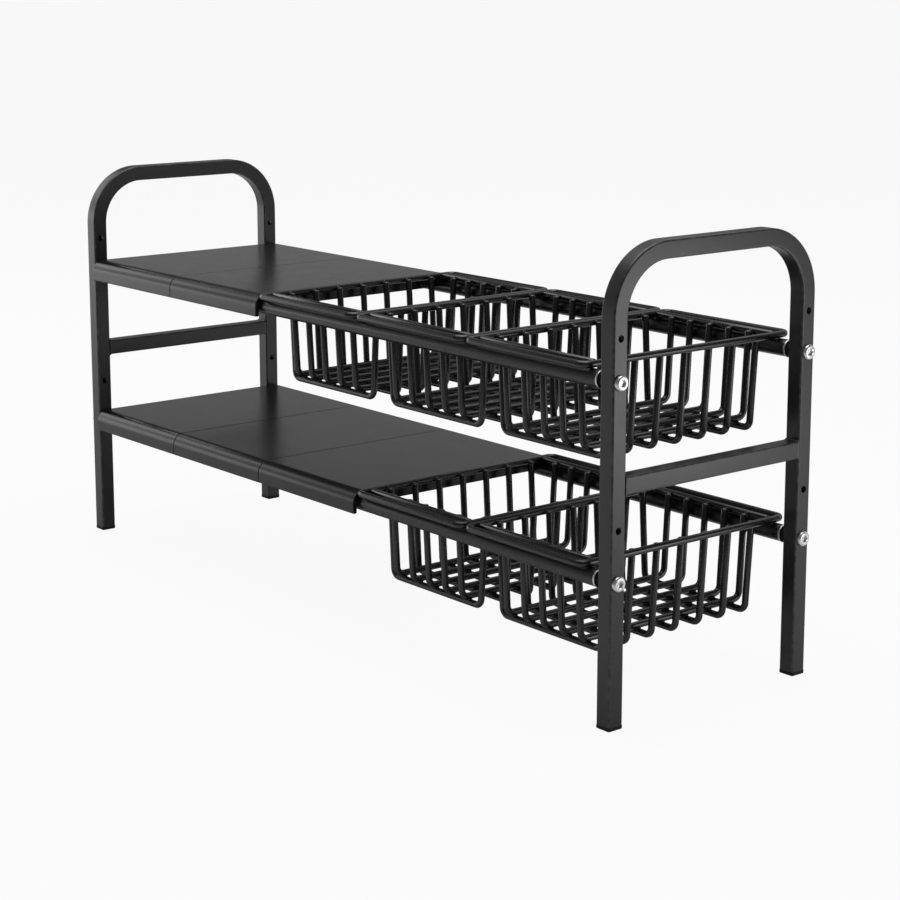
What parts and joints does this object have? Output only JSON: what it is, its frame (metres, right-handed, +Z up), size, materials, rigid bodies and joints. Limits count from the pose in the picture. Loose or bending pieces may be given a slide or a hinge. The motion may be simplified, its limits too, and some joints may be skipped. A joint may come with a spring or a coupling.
{
  "type": "under sink organizer",
  "caption": "Two-tier extendable rack of two square-tube hoops and telescoping rails, with lift-off shelf panels and wire baskets.",
  "frame": {"origin": "on the floor at the middle of the rack's footprint", "axes": "+X along the rack from the left hoop to the right one, +Y from front to back, +Z up"},
  "size_m": [0.8076, 0.238, 0.3864],
  "materials": {
    "frame_coat": "satin black powder coat",
    "rail_coat": "semi-gloss black powder coat",
    "panel_coat": "satin black, finely textured",
    "basket_wire": "gloss black dipped coating",
    "cap_plastic": "moulded black",
    "zinc_plate": "bright zinc plate",
    "screw_steel": "polished"
  },
  "bodies": {
    "left_frame": {"left_back_foot_cap": "cap_plastic", "left_crossbar": "frame_coat", "left_front_foot_cap": "cap_plastic", "left_hoop_frame": "frame_coat", "lower_back_inner_rail": "rail_coat", "lower_back_left_rail_plug": "zinc_plate", "lower_back_left_rail_screw": "screw_steel", "lower_front_inner_rail": "rail_coat", "lower_front_left_rail_plug": "zinc_plate", "lower_front_left_rail_screw": "screw_steel", "upper_back_inner_rail": "rail_coat", "upper_back_left_rail_plug": "zinc_plate", "upper_back_left_rail_screw": "screw_steel", "upper_front_inner_rail": "rail_coat", "upper_front_left_rail_plug": "zinc_plate", "upper_front_left_rail_screw": "screw_steel"},
    "right_frame": {"lower_back_outer_rail": "rail_coat", "lower_back_right_rail_plug": "zinc_plate", "lower_back_right_rail_screw": "screw_steel", "lower_front_outer_rail": "rail_coat", "lower_front_right_rail_plug": "zinc_plate", "lower_front_right_rail_screw": "screw_steel", "right_back_foot_cap": "cap_plastic", "right_crossbar": "frame_coat", "right_front_foot_cap": "cap_plastic", "right_hoop_frame": "frame_coat", "upper_back_outer_rail": "rail_coat", "upper_back_right_rail_plug": "zinc_plate", "upper_back_right_rail_screw": "screw_steel", "upper_front_outer_rail": "rail_coat", "upper_front_right_rail_plug": "zinc_plate", "upper_front_right_rail_screw": "screw_steel"},
    "lower_basket_1": {"lower_basket_1_cross_wires": "basket_wire", "lower_basket_1_long_wires": "basket_wire", "lower_basket_1_rim": "basket_wire", "lower_basket_1_saddle_wires": "basket_wire"},
    "lower_basket_2": {"lower_basket_2_cross_wires": "basket_wire", "lower_basket_2_long_wires": "basket_wire", "lower_basket_2_rim": "basket_wire", "lower_basket_2_saddle_wires": "basket_wire"},
    "lower_panel_1": {"lower_panel_1": "panel_coat"},
    "lower_panel_2": {"lower_panel_2": "panel_coat"},
    "lower_panel_3": {"lower_panel_3": "panel_coat"},
    "upper_basket_1": {"upper_basket_1_cross_wires": "basket_wire", "upper_basket_1_long_wires": "basket_wire", "upper_basket_1_rim": "basket_wire", "upper_basket_1_saddle_wires": "basket_wire"},
    "upper_basket_2": {"upper_basket_2_cross_wires": "basket_wire", "upper_basket_2_long_wires": "basket_wire", "upper_basket_2_rim": "basket_wire", "upper_basket_2_saddle_wires": "basket_wire"},
    "upper_basket_3": {"upper_basket_3_cross_wires": "basket_wire", "upper_basket_3_long_wires": "basket_wire", "upper_basket_3_rim": "basket_wire", "upper_basket_3_saddle_wires": "basket_wire"},
    "upper_panel_1": {"upper_panel_1": "panel_coat"},
    "upper_panel_2": {"upper_panel_2": "panel_coat"}
  },
  "joints": [
    {"name": "rack_extend", "type": "slide", "parent": "right_frame", "child": "left_frame", "axis": [-1, 0, 0], "range_m": [0, 0.1]},
    {"name": "upper_panel_1_lift", "type": "slide", "parent": "left_frame", "child": "upper_panel_1", "axis": [0, 0, 1], "range_m": [0, 0.12]},
    {"name": "upper_panel_2_lift", "type": "slide", "parent": "left_frame", "child": "upper_panel_2", "axis": [0, 0, 1], "range_m": [0, 0.12]},
    {"name": "upper_basket_1_lift", "type": "slide", "parent": "right_frame", "child": "upper_basket_1", "axis": [0, 0, 1], "range_m": [0, 0.12]},
    {"name": "upper_basket_2_lift", "type": "slide", "parent": "right_frame", "child": "upper_basket_2", "axis": [0, 0, 1], "range_m": [0, 0.12]},
    {"name": "upper_basket_3_lift", "type": "slide", "parent": "right_frame", "child": "upper_basket_3", "axis": [0, 0, 1], "range_m": [0, 0.12]},
    {"name": "lower_panel_1_lift", "type": "slide", "parent": "left_frame", "child": "lower_panel_1", "axis": [0, 0, 1], "range_m": [0, 0.13]},
    {"name": "lower_panel_2_lift", "type": "slide", "parent": "left_frame", "child": "lower_panel_2", "axis": [0, 0, 1], "range_m": [0, 0.13]},
    {"name": "lower_panel_3_lift", "type": "slide", "parent": "right_frame", "child": "lower_panel_3", "axis": [0, 0, 1], "range_m": [0, 0.07]},
    {"name": "lower_basket_1_lift", "type": "slide", "parent": "right_frame", "child": "lower_basket_1", "axis": [0, 0, 1], "range_m": [0, 0.07]},
    {"name": "lower_basket_2_lift", "type": "slide", "parent": "right_frame", "child": "lower_basket_2", "axis": [0, 0, 1], "range_m": [0, 0.07]}
  ]
}
